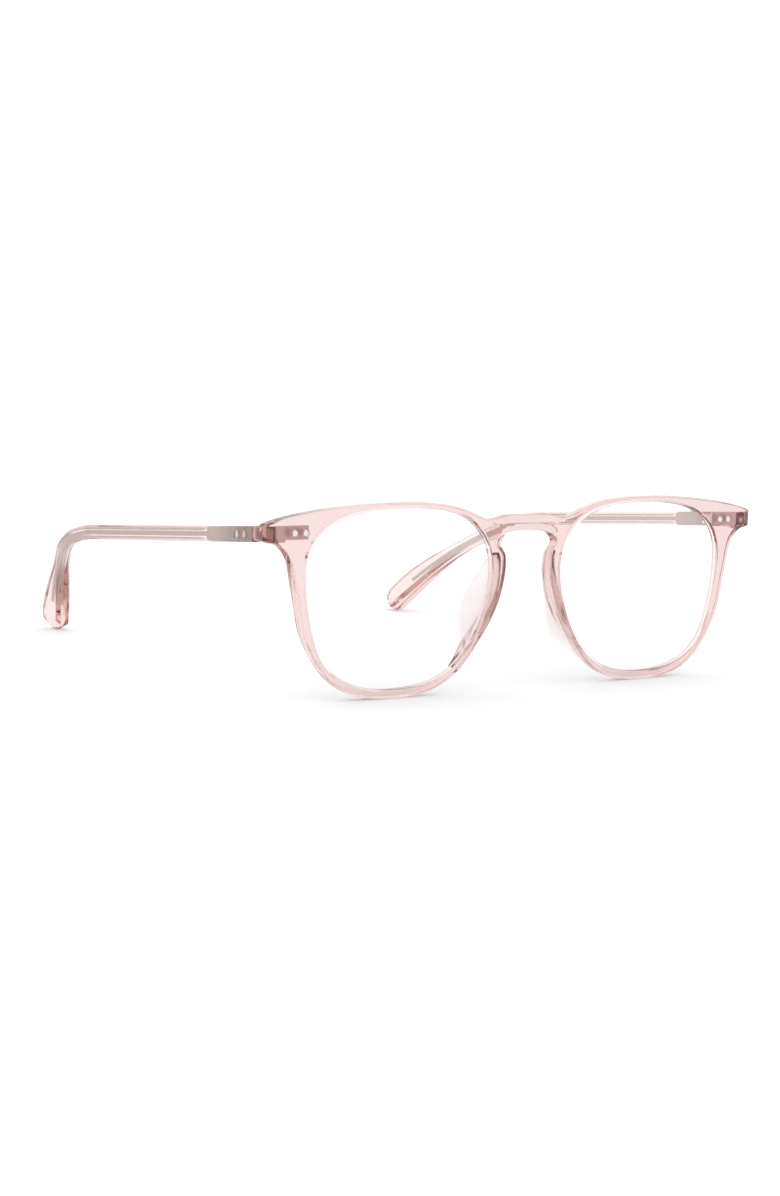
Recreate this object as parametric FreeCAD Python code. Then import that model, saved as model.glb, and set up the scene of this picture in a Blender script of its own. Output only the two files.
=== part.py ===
import FreeCAD, Part
import math
import os

from FreeCAD import Vector

# Acetate spectacles with clear lenses, riveted hinges and wire-cored temples, in millimetres.
# +X is the wearer's left, +Y runs back along the temples and +Z is up.
# The left half is modelled and mirrored. While it is built, the front's face touches y = 0 at the
# bridge and the rims stand on z = 0; the origin moves to the middle of the footprint at the end.

# Lenses and the openings that show them
lens_width = 51.8
lens_height = 42.9
lens_gap = 20.0              # between the two lenses, across the nose
lens_thickness = 1.6
lens_radius = 250.0          # curve of the lens faces
lens_proud = 0.45            # the lens's middle stands this far ahead of the front's face
groove_depth = 0.5           # how far the lens edge is let into the rim
groove_clearance = 0.03

# Front
front_thickness = 3.1
wrap_radius = 1270.0         # the face curve, seen from above
bottom_rim = 2.2
top_rim = 1.4
side_rim = 4.0
nasal_rim = 3.9              # at the narrowest place of the nose gap
keyhole_flare = 1.8          # the keyhole is this much wider, each side, than the nose gap below it
bridge_drop = 3.6            # bridge top, below the front's top
bridge_height = 3.9

# End-pieces
endpiece_reach = 11.8        # from the lens opening to the outer face
endpiece_drop = 6.45         # end-piece centre, below the front's top
endpiece_depth = 5.1         # from the face to the butt of the temple
endpiece_margin = 0.15       # end-piece above and below the temple
corner_radius = 1.9

# Temples
temple_height = 3.6
temple_thickness = 3.7
temple_slope = 5.1           # degrees down towards the back
bend_length = 107.0          # from the butt to where the ear bend turns down
bend_blend = 28.4            # half the length of the ear bend
drop_angle = 49.7            # degrees down, behind the ear
toe_length = 94.0            # from the butt to where the end turns in
toe_blend = 7.0
toe_angle = 23.3             # degrees in, towards the head
twist_angle = 37.0           # degrees that the end's lower edge leans in, at the tip
paddle_width = 7.6
paddle_thickness = 4.7
paddle_length = 41.0         # the widening end
paddle_full = 7.2            # the part of it that has its full width
tip_round = 2.6              # how far the thickness rounds off at the very end
butt_gap = 0.1
plain_bevel = 0.3            # edge bevel beside the hinge
long_bevel = 0.95            # edge bevel behind the arrow
bevel_run = 4.0              # length over which one bevel becomes the other

# Wire core, one stamping with an arrow-headed plate at the hinge end
core_height = 1.05
core_thickness = 0.6
core_end = 13.0              # from the tip's end to the wire's end
plate_height = 3.2
plate_length = 22.0          # from the plate's front end to the arrow's point
arrow_length = 2.6
core_setback = 0.5           # from the butt to the plate

# Hinges
barrel_radius = 1.25
barrel_height = 3.4
knuckle_gap = 0.06
screw_radius = 0.6
screw_head_radius = 0.95
screw_head_height = 0.45
slot_width = 0.22
slot_depth = 0.2
bore_clearance = 0.04
hinge_plate = 0.8            # thickness of both hinge plates
plate_inset = 0.4            # how far they are let into the acetate
swing_clearance = 0.2        # between the barrels and the temple's plate
wall_clearance = 0.35        # between the barrels and the end-piece
front_plate_length = 8.25
front_plate_height = 3.2
temple_plate_length = 9.8
temple_plate_height = 2.7
arm_width = 1.8
arm_depth = 2.0

# Rivets, two through each hinge plate
rivet_radius = 0.6
rivet_head_radius = 0.9
rivet_head_height = 0.5
rivet_clearance = 0.02
front_rivet_inset = 8.1      # outer rivet, in from the end-piece's outer face
front_rivet_pitch = 2.8
temple_rivet_inset = 4.6     # first rivet, back from the butt
temple_rivet_pitch = 3.0

# Nose pads
pad_top = 33.0
pad_bottom = 6.2
pad_depth = 5.7
pad_width = 2.8
pad_back_x = 13.6            # the pad's back edge, from the middle, at its widest place
pad_back_z = 14.0            # height of that place
pad_back_radius = 36.0       # curve of the back edge, seen from the front
pad_overlap = 0.4            # the pad is trimmed to the rim from this far inside it
pad_edge_inset = 0.15        # from the rim's nasal edge to the pad's foot
pad_end_depth = 0.5          # what is left of the depth at the pad's two ends
pad_end_width = 0.55         # and of its width, as a share

reach = 400.0                # longer than anything here, for cutting tools
tiny = 0.01                  # for telling edges apart
offset_points = 48           # round an outline grown from another

# Derived places
eye_half_width = lens_width / 2 - groove_depth
eye_half_height = lens_height / 2 - groove_depth
eye_x = (lens_gap + lens_width) / 2
eye_z = bottom_rim + eye_half_height
front_top = eye_z + eye_half_height + top_rim
front_half = eye_x + eye_half_width + endpiece_reach
nose_half = eye_x - eye_half_width - nasal_rim
keyhole_half = nose_half + keyhole_flare
bridge_top = front_top - bridge_drop
bridge_under = bridge_top - bridge_height
endpiece_z = front_top - endpiece_drop


def face_y(x):
    """Y of the front's face at x."""
    return wrap_radius - math.sqrt(wrap_radius ** 2 - x ** 2)


butt_y = face_y(front_half) + endpiece_depth
temple_x = front_half - temple_thickness / 2
temple_inner_x = front_half - temple_thickness
slope = math.tan(math.radians(temple_slope))
drop = math.tan(math.radians(drop_angle))
toe = math.tan(math.radians(toe_angle))
bend_y = butt_y + bend_length
toe_y = butt_y + toe_length
temple_z = endpiece_z - slope * (butt_y - face_y(front_half))
bend_z = temple_z - slope * bend_length
drop_cos = math.cos(math.radians(drop_angle)) * math.cos(math.radians(toe_angle))

pivot_x = temple_inner_x + plate_inset - hinge_plate - swing_clearance - barrel_radius
pivot_y = butt_y
pivot_z = temple_z
front_plate_y = face_y(pivot_x) + front_thickness - plate_inset

# Fractions of the eye's half-width and half-height, round from the temple side
eye_shape = [(1.0, 0.25), (0.965, 0.56), (0.785, 0.81), (0.45, 0.955), (0.0, 1.0), (-0.45, 0.96),
             (-0.78, 0.81), (-0.95, 0.56), (-1.0, 0.24), (-0.93, -0.18), (-0.78, -0.55),
             (-0.5, -0.87), (0.0, -1.0), (0.47, -0.935), (0.77, -0.71), (0.93, -0.3)]

# Fractions of the rim's outer half-width and half-height, down from the temple and up to the nose
rim_shape = [(0.985, 0.235), (0.945, 0.0), (0.895, -0.287), (0.806, -0.52), (0.656, -0.767),
             (0.452, -0.931), (0.224, -0.992), (0.0, -1.0), (-0.218, -0.974), (-0.432, -0.875),
             (-0.612, -0.698), (-0.742, -0.49), (-0.884, -0.218), (-0.957, 0.0)]


# Heights of the nose pad's sections, as shares of its own height
pad_shares = [0.015, 0.1, 0.25, 0.45, 0.65, 0.82, 0.94, 0.99]


def spline(points, closed):
    """A smooth edge through points in the XZ plane."""
    curve = Part.BSplineCurve()
    curve.interpolate(Points=[Vector(x, 0, z) for x, z in points], PeriodicFlag=closed)
    return curve.toShape()


def both_halves(points):
    """A smooth edge through points, which begin or end at x = 0, and their mirror images."""
    half = points[::-1] if points[0][0] > 0 else points
    return spline([(-x, z) for x, z in reversed(half[1:])] + half, False)


def box(x, y, z):
    """A box between two limits on each axis."""
    return Part.makeBox(x[1] - x[0], y[1] - y[0], z[1] - z[0], Vector(x[0], y[0], z[0]))


def through(wire_or_edges):
    """The outline in the XZ plane as a prism right through the front."""
    face = Part.Face(Part.Wire(wire_or_edges))
    face.translate(Vector(0, -reach / 2, 0))
    return face.extrude(Vector(0, reach, 0))


def mirrored(shape):
    return shape.mirror(Vector(0, 0, 0), Vector(1, 0, 0))


def eye_wire(offset):
    """The lens opening's outline, grown outwards by offset."""
    points = [(eye_x + eye_half_width * u, eye_z + eye_half_height * v) for u, v in eye_shape]
    edge = spline(points, True)
    if offset:
        first, last = edge.ParameterRange
        grown = []
        for i in range(offset_points):
            at = first + (last - first) * i / offset_points
            place = edge.valueAt(at)
            outwards = edge.tangentAt(at).cross(Vector(0, 1, 0))
            if outwards.dot(place - Vector(eye_x, 0, eye_z)) < 0:
                outwards = -outwards
            grown.append(place + outwards * offset)
        edge = spline([(place.x, place.z) for place in grown], True)
    return Part.Wire([edge])


def front_outline():
    """Edges of the whole front's outline: top, bottom and the two ends."""
    corner_x = front_half
    half = temple_height / 2 + endpiece_margin
    upper = [(0, bridge_top),
             (nose_half, bridge_top - 0.1),
             (nose_half + 4.2, bridge_top - 0.85),
             (eye_x - 0.75 * eye_half_width, front_top - 2.6),
             (eye_x - 0.56 * eye_half_width, front_top - 1.2),
             (eye_x - 0.32 * eye_half_width, front_top - 0.3),
             (eye_x + 0.04 * eye_half_width, front_top),
             (eye_x + 0.4 * eye_half_width, front_top - 0.2),
             (eye_x + 0.72 * eye_half_width, front_top - 0.9),
             (eye_x + eye_half_width + 1.2, front_top - 2.0),
             (corner_x - 3.6, front_top - 3.4),
             (corner_x, endpiece_z + half)]
    rim_half_width = eye_half_width + side_rim
    rim_half_height = eye_half_height + bottom_rim
    lower = [(corner_x, endpiece_z - half),
             (corner_x - 3.4, endpiece_z - half - 0.5),
             (corner_x - 5.2, endpiece_z - half - 1.6),
             (corner_x - 6.7, endpiece_z - half - 3.5),
             (corner_x - 7.5, endpiece_z - half - 5.7)]
    lower += [(eye_x + rim_half_width * u, eye_z + rim_half_height * v) for u, v in rim_shape]
    lower += [(nose_half, bridge_under - 7.4),
              (nose_half + 0.5, bridge_under - 4.9),
              (keyhole_half - 0.1, bridge_under - 3.0),
              (keyhole_half - 0.9, bridge_under - 1.4),
              (keyhole_half - 3.6, bridge_under - 0.3),
              (0, bridge_under)]
    ends = [Part.makeLine(Vector(side * corner_x, 0, upper[-1][1]),
                          Vector(side * corner_x, 0, lower[0][1])) for side in (-1, 1)]
    return Part.__sortEdges__([both_halves(upper), both_halves(lower)] + ends)


def wrap_cylinder(depth):
    """Everything behind the surface that runs at this depth behind the front's face."""
    return Part.makeCylinder(wrap_radius - depth, reach, Vector(0, wrap_radius, -reach / 2))


def curved_slab():
    """The front's thickness: a wrapped slab with its outer corners rounded, seen from above."""
    near = box((-front_half, front_half), (-1, butt_y + front_thickness), (-1, reach / 2))
    slab = wrap_cylinder(0).cut(wrap_cylinder(front_thickness)).common(near)
    sharp = [edge for edge in slab.Edges
             if abs(abs(edge.CenterOfMass.x) - front_half) < tiny
             and abs(edge.CenterOfMass.y - face_y(front_half)) < tiny
             and edge.BoundBox.ZLength > front_top]
    return slab.makeFillet(corner_radius, sharp)


def lens_shell(grow):
    """The lens's curved thickness, grown by grow on both faces, square to the face at the eye."""
    tilt = math.degrees(math.asin(eye_x / wrap_radius))
    apex = -lens_proud - grow
    centre = Vector(0, apex + lens_radius, 0)
    outer = Part.makeSphere(lens_radius, centre, Vector(0, 0, 1))
    inner_radius = lens_radius - lens_thickness - 2 * grow
    inner = Part.makeSphere(inner_radius, centre, Vector(0, 0, 1))
    side = lens_width
    near = box((-side, side), (apex - 1, 2 * front_thickness), (-side, side))
    shell = outer.common(near).cut(inner)
    shell.rotate(Vector(0, 0, 0), Vector(0, 0, 1), tilt)
    shell.translate(Vector(eye_x, face_y(eye_x), eye_z))
    return shell


def lens():
    return through(eye_wire(groove_depth)).common(lens_shell(0))


def lens_groove():
    return through(eye_wire(groove_depth + groove_clearance)).common(lens_shell(groove_clearance))


def endpiece_block():
    """The end-piece behind the front's back, in line with the temple."""
    start_y = face_y(front_half) + corner_radius
    wall_x = pivot_x + barrel_radius + wall_clearance
    half = temple_height / 2
    side = [Vector(wall_x, y, temple_z + slope * (butt_y - y) + rise)
            for y, rise in [(start_y, -half), (butt_y, -half), (butt_y, half), (start_y, half)]]
    face = Part.Face(Part.makePolygon(side + side[:1]))
    return face.extrude(Vector(front_half - wall_x, 0, 0))


def front_frame(cuts):
    body = through(front_outline()).common(curved_slab())
    openings = through(eye_wire(0).Edges)
    body = body.cut(openings).cut(mirrored(openings))
    block = endpiece_block()
    body = body.fuse([block, mirrored(block)])
    for tool in cuts:
        body = body.cut(tool).cut(mirrored(tool))
    return body.removeSplitter()


def bend(y, turn_y, before, after, blend):
    """Two straight slopes that meet at turn_y, with a smooth arc between them."""
    run = y - turn_y
    if run <= -blend:
        return before * run
    if run >= blend:
        return after * run
    return before * run + (after - before) * (run + blend) ** 2 / (4 * blend)


def temple_point(y):
    """The temple's centreline at y."""
    x = temple_x + bend(y, toe_y, 0, -toe, toe_blend)
    z = bend_z + bend(y, bend_y, -slope, -drop, bend_blend)
    return Vector(x, y, z)


def temple_frame(y, end):
    """Directions along, across and up from the centreline at y, on a temple that stops at end."""
    step = 0.05
    along = (temple_point(y + step) - temple_point(y - step)).normalize()
    across = along.cross(Vector(0, 0, 1)).normalize()
    up = across.cross(along).normalize()
    bend_start = bend_y - bend_blend
    share = min(max((y - bend_start) / (end - bend_start), 0.0), 1.0)
    lean = math.radians(twist_angle) * share
    leaning = up * math.cos(lean) + across * math.sin(lean)
    return along, leaning.cross(along) * -1, leaning


def corners(y, end, half_height, half_thickness, bevel):
    """Corners of a bevelled rectangle square to the centreline."""
    along, across, up = temple_frame(y, end)
    centre = temple_point(y)
    low = half_height - bevel
    thin = half_thickness - bevel
    places = [(half_thickness, low), (thin, half_height), (-thin, half_height),
              (-half_thickness, low), (-half_thickness, -low), (-thin, -half_height),
              (thin, -half_height), (half_thickness, -low)]
    return [centre + across * a + up * b for a, b in places]


def section(y, half_height, half_thickness, bevel):
    points = corners(y, end_y, half_height, half_thickness, bevel)
    return Part.makePolygon(points + points[:1])


def round_end(distance, radius):
    """How much of its full size a rounded end has, distance from its tip."""
    if distance >= radius:
        return 1.0
    return math.sqrt(1 - (1 - distance / radius) ** 2)


def temple_size(y, end):
    """Half-height, half-thickness and bevel of the temple behind its straight part."""
    distance = (end - y) / drop_cos
    blend = (distance - paddle_full) / (paddle_length - paddle_full)
    blend = min(max(blend, 0.0), 1.0)
    ease = blend * blend * (3 - 2 * blend)
    half_height = (paddle_width * (1 - ease) + temple_height * ease) / 2
    half_height *= round_end(distance, paddle_width / 2)
    half_thickness = (paddle_thickness * (1 - ease) + temple_thickness * ease) / 2
    half_thickness *= round_end(distance, tip_round)
    bevel = min(long_bevel, 0.55 * half_thickness, 0.55 * half_height)
    return half_height, half_thickness, bevel


def stations(start, end, count):
    return [start + (end - start) * i / count for i in range(count + 1)]


def bent_stations(end):
    """Places of the sections from the start of the ear bend to the temple's end."""
    full_y = end - paddle_width / 2 * drop_cos
    return stations(bend_y - bend_blend, full_y, 12) + [
        full_y + (end - full_y) * share for share in (0.3, 0.55, 0.8, 0.95)]


def resting_end():
    """Where the temple stops, so that its end rests level with the rims."""
    low, high = bend_y, bend_y + reach
    for i in range(40):
        end = (low + high) / 2
        heights = [corner.z for y in bent_stations(end)
                   for corner in corners(y, end, *temple_size(y, end))]
        if min(heights) > 0:
            low = end
        else:
            high = end
    return end


def temple_body():
    bevel_y = pivot_y + core_setback + plate_length - arrow_length
    straight_end = bend_y - bend_blend
    plain = [(butt_y - 2, plain_bevel), (bevel_y - bevel_run / 2, plain_bevel),
             (bevel_y + bevel_run / 2, long_bevel), (straight_end, long_bevel)]
    half_height = temple_height / 2
    half_thickness = temple_thickness / 2
    wires = [section(y, half_height, half_thickness, bevel) for y, bevel in plain]
    straight = Part.makeLoft(wires, True, True)
    rings = [section(y, *temple_size(y, end_y)) for y in bent_stations(end_y)]
    bent = Part.makeLoft(rings, True, False)
    body = straight.fuse(bent).removeSplitter()
    behind = box((0, reach), (butt_y + butt_gap, reach), (-reach, reach))
    return body.common(behind)


def plate_prism(outline, middle_x, thickness):
    """A flat plate beside the temple's straight part, from (distance behind the butt, rise)."""
    along, across, up = temple_frame(butt_y + 1, end_y)
    start = temple_point(butt_y)
    start.x = middle_x - thickness / 2
    points = [start + along * run + up * rise for run, rise in outline]
    return Part.Face(Part.makePolygon(points + points[:1])).extrude(Vector(thickness, 0, 0))


def core_wire():
    half = plate_height / 2
    first = core_setback
    point = core_setback + plate_length
    shoulder = point - arrow_length
    arrow = plate_prism([(first, -half), (shoulder, -half), (point, 0), (shoulder, half),
                         (first, half)], temple_x, core_thickness)
    start_y = butt_y + shoulder - arrow_length
    straight_end = bend_y - bend_blend
    last_y = end_y - core_end * drop_cos
    size = (core_height / 2, core_thickness / 2, core_thickness / 8)
    straight = Part.makeLoft([section(y, *size) for y in (start_y, straight_end)], True, True)
    bent = Part.makeLoft([section(y, *size) for y in stations(straight_end, last_y, 8)], True, False)
    return arrow.fuse([straight, bent]).removeSplitter()


def knuckle_levels():
    """Bottom and top of the three knuckles, from the lowest up."""
    pitch = barrel_height / 3
    base = pivot_z - barrel_height / 2
    inset = knuckle_gap / 2
    return [(base, base + pitch - inset), (base + pitch + inset, base + 2 * pitch - inset),
            (base + 2 * pitch + inset, base + barrel_height)]


def barrel(level):
    low, high = level
    return Part.makeCylinder(barrel_radius, high - low, Vector(pivot_x, pivot_y, low))


def hinge_bore():
    shank = Part.makeCylinder(screw_radius + bore_clearance, barrel_height + 2,
                              Vector(pivot_x, pivot_y, pivot_z - barrel_height / 2 - 1))
    head_z = pivot_z + barrel_height / 2 - screw_head_height
    head = Part.makeCylinder(screw_head_radius + bore_clearance, screw_head_height + 1,
                             Vector(pivot_x, pivot_y, head_z))
    return shank.fuse(head)


def front_hinge():
    levels = knuckle_levels()
    plate_end = pivot_x + barrel_radius
    half = front_plate_height / 2
    body = box((plate_end - front_plate_length, plate_end),
               (front_plate_y, front_plate_y + hinge_plate),
               (endpiece_z - half, endpiece_z + half))
    for level in (levels[0], levels[2]):
        arm = box((pivot_x - arm_width / 2, pivot_x + arm_width / 2), (front_plate_y, pivot_y), level)
        body = body.fuse([arm, barrel(level)])
    return body.removeSplitter()


def temple_hinge():
    middle = knuckle_levels()[1]
    half = temple_plate_height / 2
    plate_x = temple_inner_x + plate_inset - hinge_plate / 2
    plate = plate_prism([(2 * butt_gap, -half), (temple_plate_length, -half),
                         (temple_plate_length, half), (2 * butt_gap, half)], plate_x, hinge_plate)
    arm = box((pivot_x, plate_x), (pivot_y + 2 * butt_gap, pivot_y + arm_depth), middle)
    return plate.fuse([arm, barrel(middle)]).removeSplitter()


def hinge_screw():
    low_z = pivot_z - barrel_height / 2
    high_z = pivot_z + barrel_height / 2
    shank = Part.makeCylinder(screw_radius, barrel_height, Vector(pivot_x, pivot_y, low_z))
    head = Part.makeCylinder(screw_head_radius, screw_head_height,
                             Vector(pivot_x, pivot_y, high_z - screw_head_height))
    slot = box((pivot_x - barrel_radius, pivot_x + barrel_radius),
               (pivot_y - slot_width / 2, pivot_y + slot_width / 2),
               (high_z - slot_depth, high_z + 1))
    return shank.fuse(head).cut(slot)


def rivet(start, end, clearance):
    """A flush-headed rivet whose head is at start."""
    axis = end - start
    shank = Part.makeCylinder(rivet_radius + clearance, axis.Length, start, axis)
    head = Part.makeCylinder(rivet_head_radius + clearance, rivet_head_height, start, axis)
    return shank.fuse(head)


def front_rivets(clearance):
    found = []
    for i in range(2):
        x = front_half - front_rivet_inset - i * front_rivet_pitch
        start = Vector(x, face_y(x), endpiece_z)
        end = Vector(x, front_plate_y + hinge_plate, endpiece_z)
        found.append(rivet(start, end, clearance))
    return found


def temple_rivets(clearance):
    found = []
    inner_x = temple_inner_x + plate_inset - hinge_plate
    for i in range(2):
        y = butt_y + temple_rivet_inset + i * temple_rivet_pitch
        z = temple_point(y).z
        found.append(rivet(Vector(front_half, y, z), Vector(inner_x, y, z), clearance))
    return found


def pad_section(share):
    """The pad's outline, seen from above, at a share of its height from bottom to top."""
    z = pad_bottom + (pad_top - pad_bottom) * share
    fullness = math.sin(math.pi * share ** 0.8) ** 0.6
    depth = pad_end_depth + pad_depth * fullness
    half = pad_width / 2 * (pad_end_width + (1 - pad_end_width) * fullness)
    rim_x = pad_rim_x(z)
    start_y = face_y(rim_x) + front_thickness - pad_overlap
    back_x = pad_back_x - (z - pad_back_z) ** 2 / (2 * pad_back_radius)
    lean = (back_x - rim_x) * fullness
    outline = [(-half, 0), (half, 0), (half + 0.4 * lean, 0.5), (0.7 * half + lean, 0.85),
               (lean, 1.0), (-0.7 * half + 0.85 * lean, 0.85), (-half + 0.35 * lean, 0.5)]
    curve = Part.BSplineCurve()
    points = [Vector(rim_x + a, start_y + b * (depth + pad_overlap), z) for a, b in outline]
    curve.interpolate(Points=points, PeriodicFlag=True)
    return Part.Wire([curve.toShape()])


def pad_rim_x(z):
    """Middle of the nasal rim at height z, where the pad stands."""
    line = Part.makeLine(Vector(0, 0, z), Vector(eye_x, 0, z))
    hit = outline_bottom.distToShape(line)[1][0][0]
    return hit.x + pad_width / 2 + pad_edge_inset


def nose_pad():
    pad = Part.makeLoft([pad_section(share) for share in pad_shares], True, False)
    return pad.common(wrap_cylinder(front_thickness))


end_y = resting_end()
outline_bottom = min(front_outline(), key=lambda edge: edge.CenterOfMass.z)

core = core_wire()
temple_blind = temple_body()
temple_plate = temple_hinge()
front_plate = front_hinge()
bore = hinge_bore()
temple_holes = Part.makeCompound(temple_rivets(rivet_clearance))
front_holes = Part.makeCompound(front_rivets(rivet_clearance))
front = front_frame([lens_groove(), front_plate, front_holes])

left_half = {
    "lens": lens(),
    "nose_pad": nose_pad(),
    "front_hinge": front_plate.cut(bore).cut(front_holes),
    "front_rivets": Part.makeCompound(front_rivets(0)),
    "hinge_screw": hinge_screw(),
    "temple": temple_blind.cut(core).cut(temple_plate).cut(temple_holes),
    "temple_hinge": temple_plate.cut(bore).cut(temple_holes),
    "temple_rivets": Part.makeCompound(temple_rivets(0)),
    "core_wire": core.cut(temple_plate).cut(temple_holes),
}
nodes = {"front_frame": front}
for name, shape in left_half.items():
    nodes[name + "_left"] = shape
    nodes[name + "_right"] = mirrored(shape)

box_all = Part.makeCompound(list(nodes.values())).optimalBoundingBox(False, False)
shift = Vector(0, -(box_all.YMin + box_all.YMax) / 2, -box_all.ZMin)
os.makedirs("parts", exist_ok=True)
for name, shape in nodes.items():
    shape.translate(shift)
    shape.exportStep("parts/" + name + ".step")
    print(name, len(shape.Solids), shape.isValid(), round(shape.Volume, 2))
print("box", [round(value, 3) for value in (box_all.XLength, box_all.YLength, box_all.ZLength)])
print("shift", round(shift.y, 4), round(shift.z, 4))
print("pivot", [round(value, 4) for value in (pivot_x, pivot_y + shift.y, pivot_z + shift.z)])
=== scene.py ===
import math

import bpy
import bmesh
import numpy as np
from mathutils import Matrix, Vector
from mathutils.geometry import delaunay_2d_cdt
from mathutils.kdtree import KDTree


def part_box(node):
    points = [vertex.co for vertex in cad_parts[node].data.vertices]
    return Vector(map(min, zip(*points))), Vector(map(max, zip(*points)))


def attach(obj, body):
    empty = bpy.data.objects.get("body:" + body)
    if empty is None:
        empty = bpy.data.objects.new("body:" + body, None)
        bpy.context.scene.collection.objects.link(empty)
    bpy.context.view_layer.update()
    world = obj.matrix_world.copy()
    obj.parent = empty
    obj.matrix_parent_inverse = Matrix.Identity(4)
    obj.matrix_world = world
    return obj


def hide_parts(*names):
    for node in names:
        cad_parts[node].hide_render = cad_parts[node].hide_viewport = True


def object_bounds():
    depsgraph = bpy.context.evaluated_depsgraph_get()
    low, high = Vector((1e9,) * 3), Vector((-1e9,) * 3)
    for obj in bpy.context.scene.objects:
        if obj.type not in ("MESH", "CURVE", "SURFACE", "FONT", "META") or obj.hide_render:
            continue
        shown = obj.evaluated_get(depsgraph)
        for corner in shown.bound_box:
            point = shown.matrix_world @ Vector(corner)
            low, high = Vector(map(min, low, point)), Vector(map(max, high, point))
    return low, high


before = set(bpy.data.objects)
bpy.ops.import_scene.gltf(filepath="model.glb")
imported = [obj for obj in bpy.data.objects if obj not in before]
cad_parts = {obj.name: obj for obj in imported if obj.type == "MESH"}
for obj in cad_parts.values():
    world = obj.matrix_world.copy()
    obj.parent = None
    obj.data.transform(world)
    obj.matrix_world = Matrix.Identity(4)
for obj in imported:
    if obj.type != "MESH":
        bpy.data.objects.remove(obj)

CAD_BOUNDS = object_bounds()
MM = 0.001

# Places of the frame: the front's face touches y = 0 at the bridge and the rims stand on z = 0
front_low, front_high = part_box("front_frame")
ORIGIN = Vector((0.0, front_low.y, front_low.z))
HALF = front_high.x / MM
TOP = (front_high.z - front_low.z) / MM
lens_low, lens_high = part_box("lens_left")
LENS_GROOVE = 0.5
EYE_X = (lens_low.x + lens_high.x) / 2 / MM
EYE_Z = ((lens_low.z + lens_high.z) / 2 - front_low.z) / MM
EYE_HALF_X = (lens_high.x - lens_low.x) / 2 / MM - LENS_GROOVE
EYE_HALF_Z = (lens_high.z - lens_low.z) / 2 / MM - LENS_GROOVE

# Sizes of the front, in millimetres
WRAP = 1270.0                # radius of the face curve, seen from above
THICK = 3.1
BUTT_Y = (front_high.y - front_low.y) / MM
END_X = 73.1                 # outer faces of the end-pieces
END_Z = TOP - 6.45           # their middle
BLOCK_X = 69.15              # where the deep part of an end-piece begins
BLOCK_RISE = 1.45            # its top, above the end-piece's middle
CORNER = 1.9                 # outer corners, seen from above
SIDE_RIM, BOTTOM_RIM = 4.0, 2.2
NOSE = 6.6                   # half the nose gap
FLARE = NOSE + 1.8           # half the keyhole
BRIDGE_TOP = TOP - 3.6
BRIDGE_LOW = BRIDGE_TOP - 3.9
LENS_R = 250.0
LENS_PROUD = 0.45            # the lens's middle stands this far ahead of the front's face
LENS_THICK = 1.6
GROOVE_GAP = 0.03

# Roundings of the front's edges
FACE_ROUND, BRIDGE_ROUND = 0.5, 1.2      # on the face, and what the bridge has beyond that
EYE_ROUND, EYE_BACK_ROUND = 0.38, 0.3    # at the lens openings
BACK_ROUND, BLOCK_ROUND = 0.45, 0.25     # on the back, and on the end-pieces' deep part

# The front's mesh
LOOP_STEP, CURVE_STEP = 0.34, 0.1        # along the outlines, and along the curves they are taken from
RING_DEPTHS = (0.02, 0.07, 0.15, 0.26, 0.4, 0.56)
GRID, GRID_ROW = 0.62, 0.87              # points away from the outlines, and their rows' share of that
GRID_CLEAR = 0.75                        # from the outlines to the first of them
STEP_HALF = 0.06                         # half the width of the step to the end-pieces' deep part


def wrap_y(x):
    """Y of the front's face, in millimetres, in front coordinates."""
    return WRAP - np.sqrt(WRAP ** 2 - np.asarray(x, float) ** 2)


def cubic(points, closed, step):
    """Points about step apart along a smooth curve through the given points."""
    p = np.array(points, float)
    n = len(p)
    nxt = np.roll(p, -1, 0) if closed else p[1:]
    h = np.linalg.norm(nxt - p[: len(nxt)], axis=1)
    a = np.zeros((n, n))
    b = np.zeros((n, p.shape[1]))
    for i in range(n):
        if closed or 0 < i < n - 1:
            j, k = (i - 1) % n, (i + 1) % n
            a[i, j] += h[j]
            a[i, i] += 2 * (h[j] + h[i])
            a[i, k] += h[i]
            b[i] = 6 * ((p[k] - p[i]) / h[i] - (p[i] - p[j]) / h[j])
        else:
            a[i, i] = 1.0
    m = np.linalg.solve(a, b)
    out = []
    for i in range(n if closed else n - 1):
        k = (i + 1) % n
        count = max(2, int(round(h[i] / step)))
        for t in np.arange(count) / count * h[i]:
            s = h[i] - t
            out.append((m[i] * s ** 3 + m[k] * t ** 3) / (6 * h[i])
                       + (p[i] / h[i] - m[i] * h[i] / 6) * s + (p[k] / h[i] - m[k] * h[i] / 6) * t)
    if not closed:
        out.append(p[-1])
    return np.array(out)


def even(points, step):
    """A closed loop resampled at an even step."""
    loop = np.vstack([points, points[:1]])
    run = np.r_[0, np.cumsum(np.linalg.norm(np.diff(loop, axis=0), axis=1))]
    at = np.linspace(0, run[-1], int(round(run[-1] / step)), endpoint=False)
    return np.stack([np.interp(at, run, loop[:, i]) for i in range(2)], axis=1)


def inward(loop):
    """Unit normals of a closed loop, to the left of its direction."""
    along = np.roll(loop, -1, 0) - np.roll(loop, 1, 0)
    along /= np.linalg.norm(along, axis=1)[:, None]
    return np.stack([-along[:, 1], along[:, 0]], axis=1)


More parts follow.
